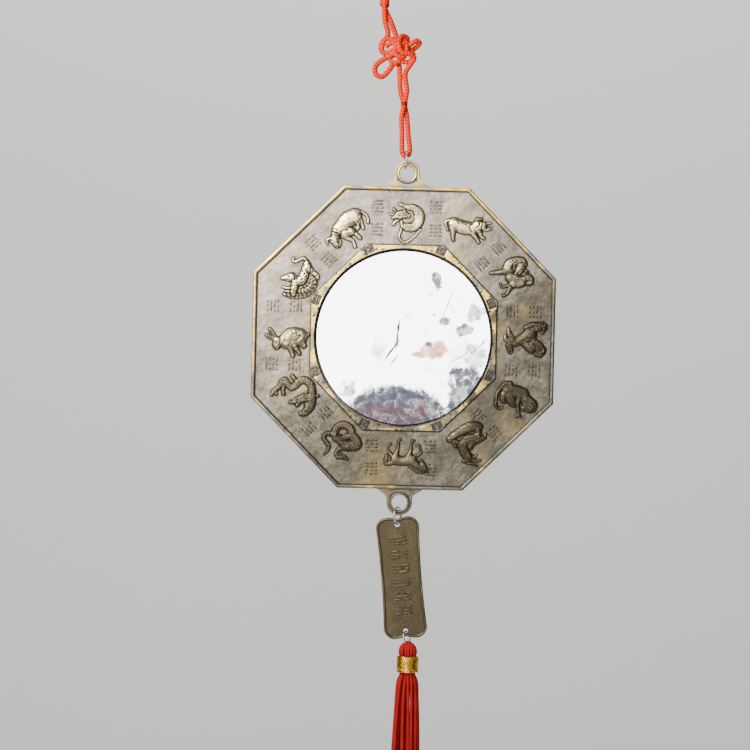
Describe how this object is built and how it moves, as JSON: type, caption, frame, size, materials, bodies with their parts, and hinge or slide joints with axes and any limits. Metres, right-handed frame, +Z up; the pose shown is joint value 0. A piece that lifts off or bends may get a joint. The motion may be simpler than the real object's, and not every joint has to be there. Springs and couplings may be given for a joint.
{
  "type": "octagonal mirror",
  "caption": "Octagonal cast frame with zodiac animals in relief around a round mirror glass, hung by a knotted cord, with a plaque and a tassel below.",
  "frame": {"origin": "inside top of the cord's hanging loop, where a hook or nail holds it", "axes": "+Z up, the mirror's face looks along -Y, +X to the viewer's right"},
  "size_m": [0.15, 0.0118, 0.4942],
  "materials": {
    "cast_frame": "aged grey-brown patina, high edges worn to pale brass",
    "mirror_glass": "silvered glass, scratched and a little grimy",
    "ring_steel": "plain wire, slightly dull",
    "cast_plaque": "brown patina, beaded border rubbed lighter",
    "yarn": "soft knitted yarn",
    "gold_foil": "crinkled gold foil thread",
    "cord": "braided knotting cord"
  },
  "bodies": {
    "root": {"mirror_frame": "cast_frame", "mirror_glass": "mirror_glass", "top_jump_ring": "ring_steel", "middle_jump_ring": "ring_steel", "tassel_jump_ring": "ring_steel", "plaque": "cast_plaque", "tassel": "yarn", "tassel_band": "gold_foil", "hanging_cord": "cord", "cord_binding": "cord", "loop_knot": "cord"}
  },
  "joints": []
}
